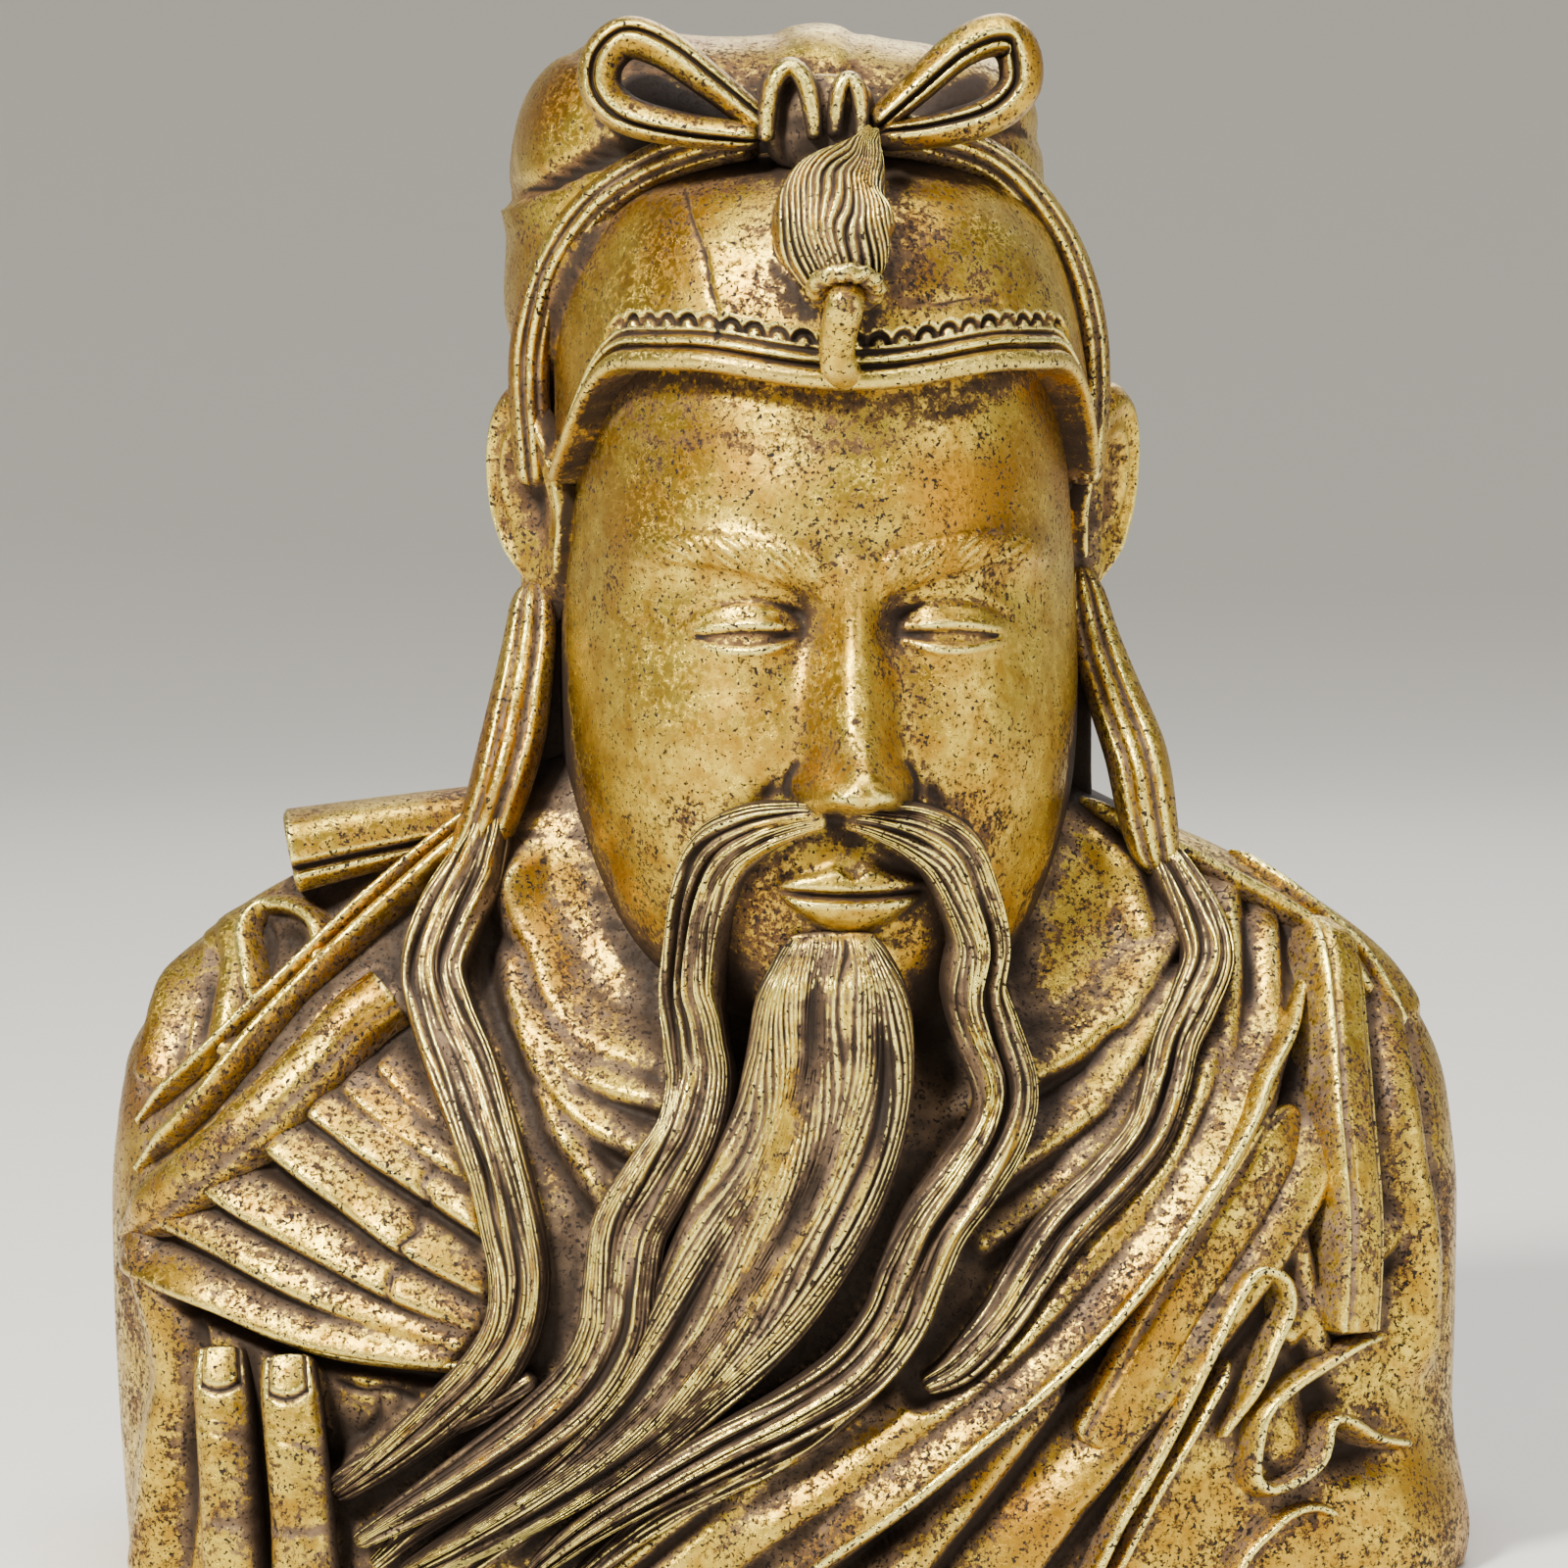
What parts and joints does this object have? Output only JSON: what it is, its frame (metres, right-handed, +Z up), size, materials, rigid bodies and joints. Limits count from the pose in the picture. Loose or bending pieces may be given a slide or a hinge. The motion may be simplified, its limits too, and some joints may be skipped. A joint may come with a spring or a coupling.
{
  "type": "carved warrior bust",
  "caption": "Gilded carved wood bust of a bearded warrior in a tied cap, in a draped robe, cut flat below to stand on a shelf.",
  "frame": {"origin": "middle of the chest's width on the flat underside that the bust stands on", "axes": "+Z up, -Y towards the front that the face looks to, +X to the viewer's right in front view"},
  "size_m": [0.2625, 0.1473, 0.2959],
  "materials": {
    "gilded_wood": "worn gold leaf over brown lacquer on carved wood"
  },
  "bodies": {
    "root": {"carved_bust": "gilded_wood"}
  },
  "joints": []
}
